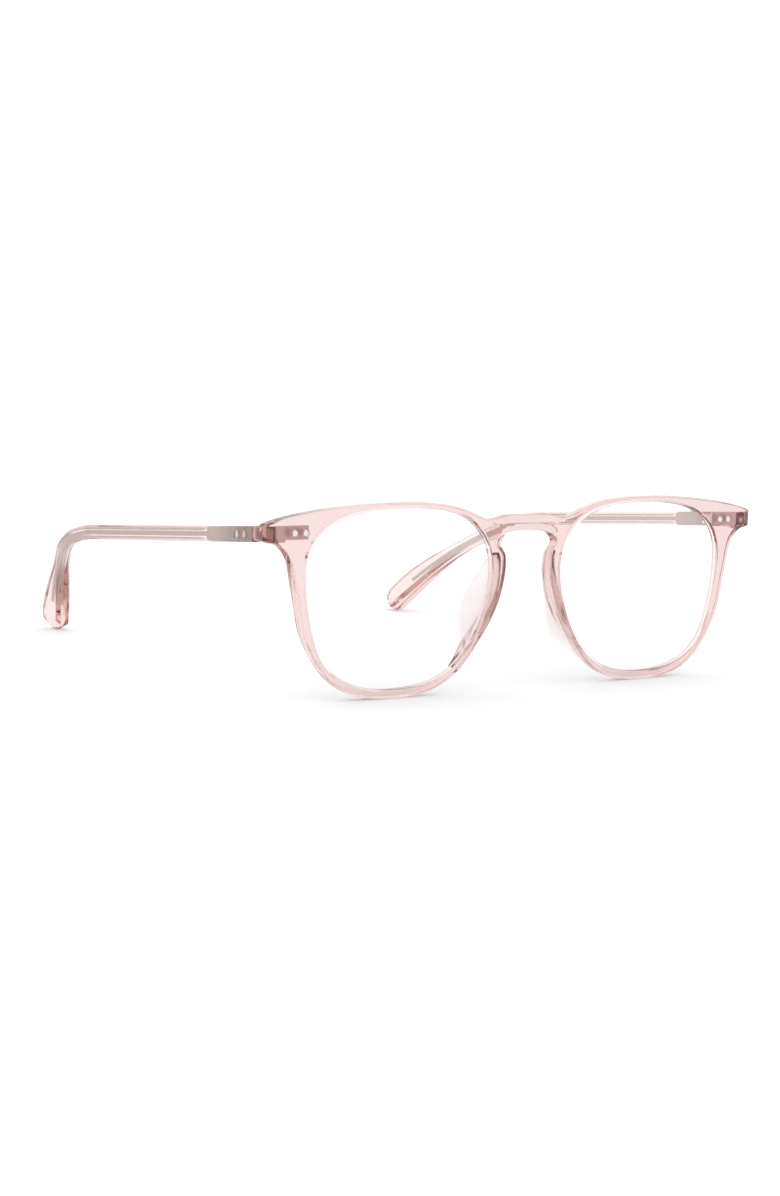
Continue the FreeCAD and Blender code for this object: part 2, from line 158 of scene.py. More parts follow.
def outer_loop():
    """The front's outline, counter-clockwise in x and z."""
    half = 1.95
    upper = [(0, BRIDGE_TOP), (NOSE, BRIDGE_TOP - 0.1), (NOSE + 4.2, BRIDGE_TOP - 0.85),
             (EYE_X - 0.75 * EYE_HALF_X, TOP - 2.6), (EYE_X - 0.56 * EYE_HALF_X, TOP - 1.2),
             (EYE_X - 0.32 * EYE_HALF_X, TOP - 0.3), (EYE_X + 0.04 * EYE_HALF_X, TOP),
             (EYE_X + 0.4 * EYE_HALF_X, TOP - 0.2), (EYE_X + 0.72 * EYE_HALF_X, TOP - 0.9),
             (EYE_X + EYE_HALF_X + 1.2, TOP - 2.0), (END_X - 3.6, TOP - 3.4), (END_X, END_Z + half)]
    rim = [(0.985, 0.235), (0.945, 0.0), (0.895, -0.287), (0.806, -0.52), (0.656, -0.767),
           (0.452, -0.931), (0.224, -0.992), (0.0, -1.0), (-0.218, -0.974), (-0.432, -0.875),
           (-0.612, -0.698), (-0.742, -0.49), (-0.884, -0.218), (-0.957, 0.0)]
    lower = [(END_X, END_Z - half), (END_X - 3.4, END_Z - half - 0.5), (END_X - 5.2, END_Z - half - 1.6),
             (END_X - 6.7, END_Z - half - 3.5), (END_X - 7.5, END_Z - half - 5.7)]
    lower += [(EYE_X + (EYE_HALF_X + SIDE_RIM) * u, EYE_Z + (EYE_HALF_Z + BOTTOM_RIM) * v) for u, v in rim]
    lower += [(NOSE, BRIDGE_LOW - 7.4), (NOSE + 0.5, BRIDGE_LOW - 4.9), (FLARE - 0.1, BRIDGE_LOW - 3.0),
              (FLARE - 0.9, BRIDGE_LOW - 1.4), (FLARE - 3.6, BRIDGE_LOW - 0.3), (0, BRIDGE_LOW)]
    top = cubic([(-x, z) for x, z in reversed(upper[1:])] + upper, False, CURVE_STEP)
    low = lower[::-1]
    bottom = cubic([(-x, z) for x, z in reversed(low[1:])] + low, False, CURVE_STEP)
    loop = even(np.vstack([bottom, top[::-1]]), LOOP_STEP)
    passes, soft_reach = 10, 1.3     # that soften the four sharp corners
    corner = np.min([np.linalg.norm(loop - np.array([sx * END_X, z]), axis=1)
                     for sx in (-1, 1) for z in (END_Z - half, END_Z + half)], axis=0)
    for _ in range(passes):
        near = (np.roll(loop, 1, 0) + np.roll(loop, -1, 0)) / 2
        share = np.clip(soft_reach - corner, 0, 1)[:, None] / 2
        loop = loop * (1 - share) + near * share
    return loop


def eye_loop(side, grow=0.0):
    """A lens opening's outline, clockwise in x and z, so that the acetate lies to its left."""
    shape = [(1.0, 0.25), (0.965, 0.56), (0.785, 0.81), (0.45, 0.955), (0.0, 1.0), (-0.45, 0.96),
             (-0.78, 0.81), (-0.95, 0.56), (-1.0, 0.24), (-0.93, -0.18), (-0.78, -0.55),
             (-0.5, -0.87), (0.0, -1.0), (0.47, -0.935), (0.77, -0.71), (0.93, -0.3)]
    points = [(side * (EYE_X + EYE_HALF_X * u), EYE_Z + EYE_HALF_Z * v) for u, v in shape]
    loop = even(cubic(points, True, CURVE_STEP), LOOP_STEP)
    area = np.sum(loop[:, 0] * np.roll(loop[:, 1], -1) - np.roll(loop[:, 0], -1) * loop[:, 1])
    if area > 0:
        loop = loop[::-1]
    return loop + inward(loop) * grow


def lens_y(x, z, side, depth):
    """Y of the lens's surface at a depth behind its front surface."""
    tilt = math.asin(EYE_X / WRAP)
    reach = LENS_R - LENS_PROUD
    cx = side * (EYE_X - math.sin(tilt) * reach)
    cy = float(wrap_y(EYE_X)) + math.cos(tilt) * reach
    return cy - np.sqrt((LENS_R - depth) ** 2 - (x - cx) ** 2 - (z - EYE_Z) ** 2)


def place(points):
    """Front coordinates in millimetres to frame coordinates in metres."""
    return [Vector((p[0], p[1], p[2])) * MM + ORIGIN for p in points]


def piece(name, points, faces, body, replaced, material, angle=40):
    """A mesh piece that rides on a body and stands for CAD nodes."""
    mesh = bpy.data.meshes.new(name)
    mesh.from_pydata(place(points), [], [tuple(int(i) for i in f) for f in faces])
    build = bmesh.new()
    build.from_mesh(mesh)
    bmesh.ops.remove_doubles(build, verts=build.verts, dist=1e-7)
    bmesh.ops.dissolve_degenerate(build, dist=1e-7, edges=build.edges)
    bmesh.ops.recalc_face_normals(build, faces=build.faces)
    if build.calc_volume(signed=True) < 0:
        bmesh.ops.reverse_faces(build, faces=build.faces)
    build.to_mesh(mesh)
    build.free()
    mesh.shade_smooth()
    mesh.set_sharp_from_angle(angle=math.radians(angle))
    mesh.materials.append(material)
    thing = bpy.data.objects.new(name, mesh)
    bpy.context.scene.collection.objects.link(thing)
    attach(thing, body)
    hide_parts(*replaced)
    return thing


def rounded(d, radius):
    """How far a rounded edge has sunk at distance d from the outline."""
    radius = np.maximum(radius, 1e-6)
    u = np.clip(1 - d / radius, 0, 1)
    return radius * (1 - np.sqrt(np.maximum(0, 1 - u * u)))


def closest(points, loop):
    """Index of the loop's point that is closest to each point."""
    tree = KDTree(len(loop))
    for i, (x, z) in enumerate(loop):
        tree.insert((x, z, 0.0), i)
    tree.balance()
    return np.array([tree.find((x, z, 0.0))[1] for x, z in points])


def distance(points, loop, at):
    """Distance from each point to the loop's two segments that meet at its closest point."""
    best = np.full(len(points), np.inf)
    for first in (at - 1, at):
        a, b = loop[first % len(loop)], loop[(first + 1) % len(loop)]
        ab = b - a
        t = np.clip(((points - a) * ab).sum(1) / (ab * ab).sum(1), 0, 1)
        best = np.minimum(best, np.linalg.norm(points - a - t[:, None] * ab, axis=1))
    return best


def nearest(points, loop):
    """Distance from each point to a closed loop of points."""
    return distance(points, loop, closest(points, loop))


def inside(points, loop):
    """Which points lie inside a closed polyline."""
    x, z = points[:, 0][:, None], points[:, 1][:, None]
    a, b = loop, np.roll(loop, -1, 0)
    spans = (a[:, 1] > z) != (b[:, 1] > z)
    with np.errstate(divide="ignore", invalid="ignore"):
        cross = a[:, 0] + (z - a[:, 1]) * (b[:, 0] - a[:, 0]) / (b[:, 1] - a[:, 1])
    return (spans & (x < cross)).sum(1) % 2 == 1


def smooth(u):
    """A smooth step from 0 at u = 0 to 1 at u = 1."""
    u = np.clip(u, 0, 1)
    return u * u * (3 - 2 * u)


def front_radius(x, z):
    """Radius of the outer edge's rounding on the face: wide all round the bridge."""
    side, side_fade = 11.5, 4.0
    under, under_fade = BRIDGE_LOW - 1.6, 1.4
    bridge = smooth((side - np.abs(x)) / side_fade) * smooth((z - under) / under_fade)
    return FACE_ROUND + BRIDGE_ROUND * bridge


def front_surface(p, d_out, d_eye):
    """Y of the front's face at points d_out from the outline and d_eye from the lens openings."""
    x, z = p[:, 0], p[:, 1]
    face = wrap_y(x) + rounded(d_out, front_radius(x, z)) + rounded(d_eye, EYE_ROUND)
    corner = np.clip(np.abs(x) - (END_X - CORNER), 0, CORNER)
    return face + CORNER - np.sqrt(CORNER ** 2 - corner ** 2)


def back_surface(p, d_out, d_eye):
    """Y of the front's back, with the end-pieces' deep part."""
    x, z = p[:, 0], p[:, 1]
    block = (np.abs(x) > BLOCK_X) & (z < END_Z + BLOCK_RISE)
    back = np.where(block, BUTT_Y, wrap_y(x) + THICK)
    return back - rounded(d_out, np.where(block, BLOCK_ROUND, BACK_ROUND)) - rounded(d_eye, EYE_BACK_ROUND)


def make_front(material):
    """The front: its face and back over one triangulated outline, joined by walls with lens grooves."""
    outer = outer_loop()
    eyes = [eye_loop(side) for side in (1, -1)]
    loops = [outer] + eyes
    verts, edges = [], []

    def add(loop):
        first = len(verts)
        verts.extend(map(tuple, loop))
        edges.extend((first + i, first + (i + 1) % len(loop)) for i in range(len(loop)))

    for loop in loops:
        add(loop)
    starts = [0, len(outer), len(outer) + len(eyes[0])]
    total = sum(len(loop) for loop in loops)
    for loop in loops:
        normal = inward(loop)
        for d in RING_DEPTHS:
            ring = loop + normal * d
            keep = nearest(ring, outer if loop is not outer else np.vstack(eyes)) > 0.2
            keep &= nearest(ring, loop) > d - 0.02
            verts.extend(map(tuple, ring[keep]))
    along_step = 0.4
    for side in (-1, 1):
        for shift in (-STEP_HALF, STEP_HALF):
            zs = np.arange(END_Z - 2.6, END_Z + 1.5, along_step)
            verts.extend((side * (BLOCK_X + shift), z) for z in zs)
        for shift in (-STEP_HALF, STEP_HALF):
            xs = np.arange(BLOCK_X, END_X, along_step)
            verts.extend((side * x, END_Z + BLOCK_RISE + shift) for x in xs)
    xs = np.arange(-HALF, HALF + GRID, GRID)
    zs = np.arange(0, TOP + GRID, GRID * GRID_ROW)
    gx, gz = np.meshgrid(xs, zs)
    gx = gx + np.where(np.arange(len(zs)) % 2, GRID / 2, 0)[:, None]
    points = np.stack([gx.ravel(), gz.ravel()], axis=1)
    d_all = np.min([nearest(points, loop) for loop in loops], axis=0)
    ok = inside(points, outer) & ~inside(points, eyes[0]) & ~inside(points, eyes[1]) & (d_all > GRID_CLEAR)
    verts.extend(map(tuple, points[ok]))
    out_v, _, out_f, orig, _, _ = delaunay_2d_cdt([Vector(v) for v in verts], edges, [], 0, 1e-5, True)
    flat = np.array([tuple(v) for v in out_v])
    tri = np.array([tuple(f) for f in out_f])
    mid = flat[tri].mean(1)
    keep = inside(mid, outer) & ~inside(mid, eyes[0]) & ~inside(mid, eyes[1])
    tri = tri[keep]
    d_out = nearest(flat, outer)
    d_eye = np.minimum(nearest(flat, eyes[0]), nearest(flat, eyes[1]))
    index = {}
    for i, sources in enumerate(orig):
        for s in sources:
            if s < total:
                index[s] = i
    front = front_surface(flat, d_out, d_eye)
    back = back_surface(flat, d_out, d_eye)
    n = len(flat)
    points = [(x, y, z) for (x, z), y in zip(flat, front)] + [(x, y, z) for (x, z), y in zip(flat, back)]
    faces = [tuple(t) for t in tri] + [tuple(t[::-1] + n) for t in tri]

    def wall(start, loop, rows):
        """Bands from the front surface's border to the back's, through rows of points."""
        count = len(loop)
        front_ids = [index[start + i] for i in range(count)]
        levels = [front_ids]
        for row in rows:
            first = len(points)
            points.extend(row)
            levels.append(list(range(first, first + count)))
        levels.append([i + n for i in front_ids])
        for a, b in zip(levels, levels[1:]):
            for i in range(count):
                j = (i + 1) % count
                faces.append((a[i], a[j], b[j], b[i]))

    share = [0.33, 0.67]     # rows of points on the outer wall
    f_out = np.array([front[index[i]] for i in range(len(outer))])
    b_out = np.array([back[index[i]] for i in range(len(outer))])
    rows = [[(x, f + (b - f) * s, z) for (x, z), f, b in zip(outer, f_out, b_out)] for s in share]
    wall(0, outer, rows)
    for loop, start, side in zip(eyes, starts[1:], (1, -1)):
        grown = loop + inward(loop) * (LENS_GROOVE + GROOVE_GAP)
        lip = [(x, y, z) for (x, z), y in zip(loop, lens_y(loop[:, 0], loop[:, 1], side, -GROOVE_GAP))]
        near = [(x, y, z) for (x, z), y in zip(grown, lens_y(grown[:, 0], grown[:, 1], side, -GROOVE_GAP))]
        far = [(x, y, z) for (x, z), y in
               zip(grown, lens_y(grown[:, 0], grown[:, 1], side, LENS_THICK + GROOVE_GAP))]
        sill = [(x, y, z) for (x, z), y in
                zip(loop, lens_y(loop[:, 0], loop[:, 1], side, LENS_THICK + GROOVE_GAP))]
        wall(start, loop, [lip, near, far, sill])
    thing = piece("acetate_front", points, faces, "front", ["front_frame"], material, 38)
    set_normals(thing, loops)
    return thing


def set_normals(thing, loops):
    """Shade the front's face and back by the slope of their height functions, and its walls squarely."""
    mesh = thing.data
    count = len(mesh.vertices)
    flat = np.empty(count * 3)
    mesh.vertices.foreach_get("co", flat)
    p = ((flat.reshape(-1, 3) - np.array(ORIGIN)) / MM)[:, [0, 2]]
    step, sunk, edge_reach, agree = 0.008, 0.02, 0.05, 0.7
    border = np.vstack(loops)
    into = np.vstack([inward(loop) for loop in loops])
    at = closest(p, border)
    walls = np.stack([-into[at, 0], np.zeros(count), -into[at, 1]], axis=1)
    short = np.maximum(0, sunk - ((p - border[at]) * into[at]).sum(1))
    on_edge = np.linalg.norm(p - border[at], axis=1) < edge_reach
    p = p + into[at] * np.where(on_edge, short, 0)[:, None]
    places = [closest(p, loop) for loop in loops]
    heights = []
    for shift in ((1, 0), (-1, 0), (0, 1), (0, -1)):
        q = p + np.array(shift) * step
        d_out, d_left, d_right = (distance(q, loop, place) for loop, place in zip(loops, places))
        heights.append([surface(q, d_out, np.minimum(d_left, d_right))
                        for surface in (front_surface, back_surface)])
    slopes = []
    for k in range(2):
        normal = np.stack([(heights[0][k] - heights[1][k]) / (2 * step), -np.ones(count),
                           (heights[2][k] - heights[3][k]) / (2 * step)], axis=1)
        slopes.append(normal / np.linalg.norm(normal, axis=1)[:, None])
    corner = [tuple(n.vector) for n in mesh.corner_normals]
    for poly in mesh.polygons:
        if poly.loop_total == 3:
            facing = slopes[0] if poly.normal.y < 0 else -slopes[1]
        else:
            facing = walls
        for k in poly.loop_indices:
            v = mesh.loops[k].vertex_index
            if np.dot(facing[v], poly.normal) > agree:
                corner[k] = tuple(facing[v])
    mesh.normals_split_custom_set(corner)


def make_lens(side, name, material):
    """A lens: two curved faces in rings round its middle, and its edge."""
    loop = eye_loop(side, LENS_GROOVE)
    centre = np.array([side * EYE_X, EYE_Z])
    count = len(loop)
    shares = np.r_[1.0, 0.996, 0.985, np.linspace(0.96, 0.04, 22)]
    bevels = [0.1, 0.03] + [0.0] * (len(shares) - 2)
    points, faces = [], []
    for depth, sink in ((0.0, 1), (LENS_THICK, -1)):
        for share, bevel in zip(shares, bevels):
            ring = centre + (loop - centre) * share
            y = lens_y(ring[:, 0], ring[:, 1], side, depth) + sink * bevel
            points.extend(zip(ring[:, 0], y, ring[:, 1]))
        points.append((centre[0], float(lens_y(centre[0], centre[1], side, depth)), centre[1]))
    rows = len(shares)
    half = rows * count + 1
    for base, flip in ((0, 1), (half, -1)):
        for r in range(rows - 1):
            for i in range(count):
                j = (i + 1) % count
                a, b = base + r * count, base + (r + 1) * count
                faces.append((a + i, a + j, b + j, b + i)[::flip])
        last = base + (rows - 1) * count
        for i in range(count):
            faces.append((last + i, last + (i + 1) % count, base + rows * count)[::flip])
    for i in range(count):
        j = (i + 1) % count
        faces.append((i, half + i, half + j, j))
    return piece(name, points, faces, "front", [name.replace("clear_", "")], material, 50)


def rim_edge(z, loop):
    """X of the nasal side of the outline at height z."""
    a, b = loop, np.roll(loop, -1, 0)
    spans = (a[:, 1] > z) != (b[:, 1] > z)
    x = a[spans, 0] + (z - a[spans, 1]) * (b[spans, 0] - a[spans, 0]) / (b[spans, 1] - a[spans, 1])
    return float(np.min(x[x > 0]))


# Nose pads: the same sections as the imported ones
PAD_BOTTOM, PAD_TOP = 6.2, 33.0
PAD_WIDTH, PAD_DEPTH, PAD_END_DEPTH, PAD_END_WIDTH = 2.8, 5.7, 0.5, 0.55
PAD_BACK_X, PAD_BACK_Z, PAD_BACK_R = 13.6, 14.0, 36.0    # the back edge's widest place and curve
PAD_INSET, PAD_OVERLAP, PAD_GAP = 0.15, 0.4, 0.03        # from the rim's edge, into the rim, off its back
PAD_ROWS, PAD_COLUMNS = 44, 48


def make_pad(side, name, material):
    """A nose pad, in rings from its bottom to its top."""
    outline = outer_loop()
    shares = 0.5 - 0.5 * np.cos(np.linspace(0.09, math.pi - 0.09, PAD_ROWS))
    rings = []
    for share in shares:
        z = PAD_BOTTOM + (PAD_TOP - PAD_BOTTOM) * share
        full = math.sin(math.pi * share ** 0.8) ** 0.6
        depth = PAD_END_DEPTH + PAD_DEPTH * full
        half = PAD_WIDTH / 2 * (PAD_END_WIDTH + (1 - PAD_END_WIDTH) * full)
        rim_x = rim_edge(z, outline) + PAD_WIDTH / 2 + PAD_INSET
        start = float(wrap_y(rim_x)) + THICK
        lean = (PAD_BACK_X - (z - PAD_BACK_Z) ** 2 / (2 * PAD_BACK_R) - rim_x) * full
        shape = [(-half, 0), (half, 0), (half + 0.4 * lean, 0.5), (0.7 * half + lean, 0.85),
                 (lean, 1.0), (-0.7 * half + 0.85 * lean, 0.85), (-half + 0.35 * lean, 0.5)]
        curve = cubic([(rim_x + a, start - PAD_OVERLAP + b * (depth + PAD_OVERLAP)) for a, b in shape],
                      True, 0.12)
        length = np.linalg.norm(np.diff(curve, axis=0), axis=1).sum()
        curve = even(curve, length / (PAD_COLUMNS - 0.001))[:PAD_COLUMNS]
        rings.append([(side * x, max(y, start + PAD_GAP), z) for x, y in curve])
    points = [p for ring in rings for p in ring]
    count = len(rings[0])
    faces = [(r * count + i, r * count + (i + 1) % count, (r + 1) * count + (i + 1) % count,
              (r + 1) * count + i) for r in range(len(rings) - 1) for i in range(count)]
    for r in (0, len(rings) - 1):
        points.append(tuple(np.mean(rings[r], axis=0)))
        for i in range(count):
            faces.append((r * count + i, r * count + (i + 1) % count, len(points) - 1))
    return piece(name, points, faces, "front", [name.replace("bonded_", "")], material, 60)


# Temples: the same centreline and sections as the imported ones
T_HEIGHT, T_THICK, T_SLOPE = 3.6, 3.7, 5.1
BEND_RUN, BEND_BLEND, DROP = 107.0, 28.4, 49.7
TOE_RUN, TOE_BLEND, TOE = 94.0, 7.0, 23.3
BEND_Y, TOE_Y = BUTT_Y + BEND_RUN, BUTT_Y + TOE_RUN
TWIST, PADDLE_W, PADDLE_T, PADDLE_L, PADDLE_FULL, TIP_ROUND = 37.0, 7.6, 4.7, 41.0, 7.2, 2.6
PLATE_SETBACK, PLATE_LENGTH, ARROW_LENGTH = 0.5, 22.0, 2.6
BEVEL_Y = BUTT_Y + PLATE_SETBACK + PLATE_LENGTH - ARROW_LENGTH
BUTT_GAP = 0.1
PLAIN_BEVEL, LONG_BEVEL, BEVEL_RUN = 0.3, 0.95, 4.0
BEVEL_MOST = 0.55            # of half the height or thickness, near the tip
EDGE_SOFT, BENT_SOFT = 0.14, 0.16        # roundings of the straight part's and the ear bend's edges


def tan(degrees):
    return math.tan(math.radians(degrees))


def bend(y, turn, before, after, blend):
    """Two straight slopes that meet at turn, with a smooth arc between them."""
    run = y - turn
    if run <= -blend:
        return before * run
    if run >= blend:
        return after * run
    return before * run + (after - before) * (run + blend) ** 2 / (4 * blend)


def temple_point(y):
    """The left temple's centreline at y."""
    x = END_X - T_THICK / 2 + bend(y, TOE_Y, 0, -tan(TOE), TOE_BLEND)
    start_z = END_Z - tan(T_SLOPE) * (BUTT_Y - float(wrap_y(END_X)))
    z = start_z - tan(T_SLOPE) * BEND_RUN + bend(y, BEND_Y, -tan(T_SLOPE), -tan(DROP), BEND_BLEND)
    return Vector((x, y, z))


def temple_ring(y, end, half_h, half_t, bevel, soft):
    """Points round a bevelled rectangle, square to the centreline, with its corners softened."""
    along = (temple_point(y + 0.05) - temple_point(y - 0.05)).normalized()
    across = along.cross(Vector((0, 0, 1))).normalized()
    up = across.cross(along).normalized()
    start = BEND_Y - BEND_BLEND
    lean = math.radians(TWIST) * min(max((y - start) / (end - start), 0.0), 1.0)
    leaning = up * math.cos(lean) + across * math.sin(lean)
    across = -leaning.cross(along)
    low, thin = half_h - bevel, half_t - bevel
    shape = [(half_t, low), (thin, half_h), (-thin, half_h), (-half_t, low),
             (-half_t, -low), (-thin, -half_h), (thin, -half_h), (half_t, -low)]
    places = []
    for i, (a, b) in enumerate(shape):
        here = Vector((a, b))
        before = Vector(shape[i - 1]) - here
        after = Vector(shape[(i + 1) % 8]) - here
        cut = min(soft, 0.35 * before.length, 0.35 * after.length)
        p0, p2 = here + before.normalized() * cut, here + after.normalized() * cut
        for t in (0.0, 0.33, 0.67, 1.0):
            q = p0 * (1 - t) ** 2 + here * 2 * t * (1 - t) + p2 * t * t
            places.append(temple_point(y) + across * q.x + leaning * q.y)
    return places


def end_size(y, end):
    """Half-height, half-thickness and bevel of the temple behind its straight part."""
    cosine = math.cos(math.radians(DROP)) * math.cos(math.radians(TOE))
    distance = (end - y) / cosine
    blend = min(max((distance - PADDLE_FULL) / (PADDLE_L - PADDLE_FULL), 0.0), 1.0)
    ease = blend * blend * (3 - 2 * blend)

    def round_off(radius):
        return 1.0 if distance >= radius else math.sqrt(max(0.0, 1 - (1 - distance / radius) ** 2))

    half_h = (PADDLE_W * (1 - ease) + T_HEIGHT * ease) / 2 * round_off(PADDLE_W / 2)
    half_t = (PADDLE_T * (1 - ease) + T_THICK * ease) / 2 * round_off(TIP_ROUND)
    return half_h, half_t, min(LONG_BEVEL, BEVEL_MOST * half_t, BEVEL_MOST * half_h)


def make_temple(side, name, material):
    """A temple, in rings from its butt to its tip, which rests level with the rims."""
    end = (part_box("temple_left")[1].y - ORIGIN.y) / MM - 0.55
    for _ in range(30):
        lowest = min(p.z for y in np.linspace(end - 8, end - 0.02, 60)
                     for p in temple_ring(y, end, *end_size(y, end), 0.12))
        end += lowest * 0.7
    straight = BEND_Y - BEND_BLEND
    bevel_start = BEVEL_Y - BEVEL_RUN / 2
    butt = [(BUTT_GAP, 0.18, 0.1), (0.14, 0.26, 0.035), (0.22, PLAIN_BEVEL, 0.0)]    # behind, bevel, inset
    rows = [(bevel_start, PLAIN_BEVEL)]
    rows += [(bevel_start + BEVEL_RUN * t, PLAIN_BEVEL + (LONG_BEVEL - PLAIN_BEVEL) * t)
             for t in (0.25, 0.5, 0.75, 1.0)]
    rows += [(y, LONG_BEVEL) for y in np.linspace(BEVEL_Y + BEVEL_RUN, straight - 1, 24)]
    rings = []
    for behind, bevel, inset in butt:
        y = BUTT_Y + behind
        ring = temple_ring(y, end, T_HEIGHT / 2 - inset, T_THICK / 2 - inset, bevel, EDGE_SOFT)
        rings.append([p + (y - p.y) * Vector((0.0, 1.0, -tan(T_SLOPE))) for p in ring])
    rings += [temple_ring(y, end, T_HEIGHT / 2, T_THICK / 2, bevel, EDGE_SOFT) for y, bevel in rows]
    full = end - 4.0
    late = [full + (end - full) * s for s in
            (0.12, 0.24, 0.36, 0.48, 0.58, 0.67, 0.75, 0.82, 0.88, 0.93, 0.965, 0.985, 0.996)]
    for y in list(np.linspace(straight, full, 64)) + late:
        rings.append(temple_ring(y, end, *end_size(y, end), BENT_SOFT))
    count = len(rings[0])
    points = [(side * p.x, p.y, p.z) for ring in rings for p in ring]
    faces = [(r * count + i, r * count + (i + 1) % count, (r + 1) * count + (i + 1) % count,
              (r + 1) * count + i) for r in range(len(rings) - 1) for i in range(count)]
    for r in (0, len(rings) - 1):
        middle = sum(rings[r], Vector()) / count
        points.append((side * middle.x, middle.y, middle.z))
        for i in range(count):
            faces.append((r * count + i, r * count + (i + 1) % count, len(points) - 1))
    body = "left_temple" if side > 0 else "right_temple"
    return piece(name, points, faces, body, [name.replace("acetate_", "")], material, 24)


def make_rivets(name, node, starts, axis, length, sink, body, material):
    """Domed rivets, along axis, whose heads lie at a depth under their places on the surface."""
    profile = [(0.0, -0.07), (0.3, -0.064), (0.55, -0.045), (0.74, -0.015), (0.84, 0.03), (0.88, 0.09),
               (0.88, 0.5), (0.6, 0.5), (0.6, length - 0.05), (0.55, length), (0.0, length)]
    axis = Vector(axis).normalized()
    side = axis.orthogonal().normalized()
    other = axis.cross(side)
    points, faces, count = [], [], 40
    for start in starts:
        first = len(points)
        for r, h in profile:
            for i in range(count):
                turn = 2 * math.pi * i / count
                deep = min(h + sink, length)
                p = Vector(start) + axis * deep + side * (r * math.cos(turn)) + other * (r * math.sin(turn))
                points.append(tuple(p))
        for r in range(len(profile) - 1):
            for i in range(count):
                a, b = first + r * count, first + (r + 1) * count
                j = (i + 1) % count
                faces.append((a + i, a + j, b + j, b + i))
    return piece(name, points, faces, body, [node], material, 35)


def new_material(name):
    """A new material, its nodes and links, and its principled shader."""
    material = bpy.data.materials.new(name)
    material.use_nodes = True
    nodes, links = material.node_tree.nodes, material.node_tree.links
    shader = nodes["Principled BSDF"] if "Principled BSDF" in nodes else nodes.new("ShaderNodeBsdfPrincipled")
    return material, nodes, links, shader


def noise(nodes, links, scale, detail, stretch=(1, 1, 1)):
    """Noise in object coordinates; scale is per millimetre."""
    coords = nodes.new("ShaderNodeTexCoord")
    mapping = nodes.new("ShaderNodeMapping")
    mapping.inputs["Scale"].default_value = [s * scale / MM for s in stretch]
    texture = nodes.new("ShaderNodeTexNoise")
    texture.inputs["Scale"].default_value = 1.0
    texture.inputs["Detail"].default_value = detail
    links.new(coords.outputs["Object"], mapping.inputs["Vector"])
    links.new(mapping.outputs["Vector"], texture.inputs["Vector"])
    return texture.outputs["Fac"]


def ramp(nodes, links, source, low, high):
    """A value from 0 to 1 moved to the range from low to high."""
    ranged = nodes.new("ShaderNodeMapRange")
    ranged.inputs["To Min"].default_value = low
    ranged.inputs["To Max"].default_value = high
    links.new(source, ranged.inputs["Value"])
    return ranged.outputs["Result"]


def bump(nodes, links, shader, source, strength, distance):
    """Relief on a shader, from a value; distance is in millimetres."""
    node = nodes.new("ShaderNodeBump")
    node.inputs["Strength"].default_value = strength
    node.inputs["Distance"].default_value = distance * MM
    links.new(source, node.inputs["Height"])
    links.new(node.outputs["Normal"], shader.inputs["Normal"])


def clear_plastic(name, ior, passed, density, rough):
    """Polished clear plastic: passed is the colour that the volume lets through."""
    material, nodes, links, shader = new_material(name)
    shader.inputs["Base Color"].default_value = (1, 1, 1, 1)
    shader.inputs["Transmission Weight"].default_value = 1.0
    shader.inputs["IOR"].default_value = ior
    scuffs = noise(nodes, links, 0.35, 3.0)
    links.new(ramp(nodes, links, scuffs, rough * 0.5, rough * 1.5), shader.inputs["Roughness"])
    if density:
        volume = nodes.new("ShaderNodeVolumeAbsorption")
        volume.inputs["Color"].default_value = (*passed, 1)
        volume.inputs["Density"].default_value = density
        links.new(volume.outputs["Volume"], nodes["Material Output"].inputs["Volume"])
    return material


def metal(name, dark, light, rough, grain, stretch, relief):
    """Brushed or rolled metal with a fine grain."""
    material, nodes, links, shader = new_material(name)
    fine = noise(nodes, links, grain, 4.0, stretch)
    mix = nodes.new("ShaderNodeMix")
    mix.data_type = "RGBA"
    mix.inputs["A"].default_value = (*dark, 1)
    mix.inputs["B"].default_value = (*light, 1)
    links.new(fine, mix.inputs["Factor"])
    links.new(mix.outputs["Result"], shader.inputs["Base Color"])
    shader.inputs["Metallic"].default_value = 1.0
    links.new(ramp(nodes, links, fine, rough * 0.75, rough * 1.25), shader.inputs["Roughness"])
    bump(nodes, links, shader, fine, relief, 0.02)
    return material


def give(node, material):
    """Put a material on a CAD node."""
    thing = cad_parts[node]
    thing.data.materials.clear()
    thing.data.materials.append(material)


# Camera, where the photograph was taken from
azimuth, elevation, roll = (math.radians(a) for a in (-34.7543, 6.9184, 1.7816))
back = Vector((math.sin(azimuth) * math.cos(elevation), -math.cos(azimuth) * math.cos(elevation),
               math.sin(elevation)))
right = (-back).cross(Vector((0, 0, 1))).normalized()
up = right.cross(-back)
turned_right = right * math.cos(roll) + up * math.sin(roll)
turned_up = up * math.cos(roll) - right * math.sin(roll)
target = ORIGIN + Vector((1.5907, 60.0, 14.7792)) * MM
away = 0.6396251
camera_data = bpy.data.cameras.new("camera")
camera_data.lens = 74.085
camera_data.sensor_width = 36.0
camera_data.clip_start = 0.01
camera = bpy.data.objects.new("camera", camera_data)
basis = Matrix((turned_right, turned_up, back)).transposed().to_4x4()
camera.matrix_world = Matrix.Translation(target + back * away) @ basis
bpy.context.scene.collection.objects.link(camera)
bpy.context.scene.camera = camera

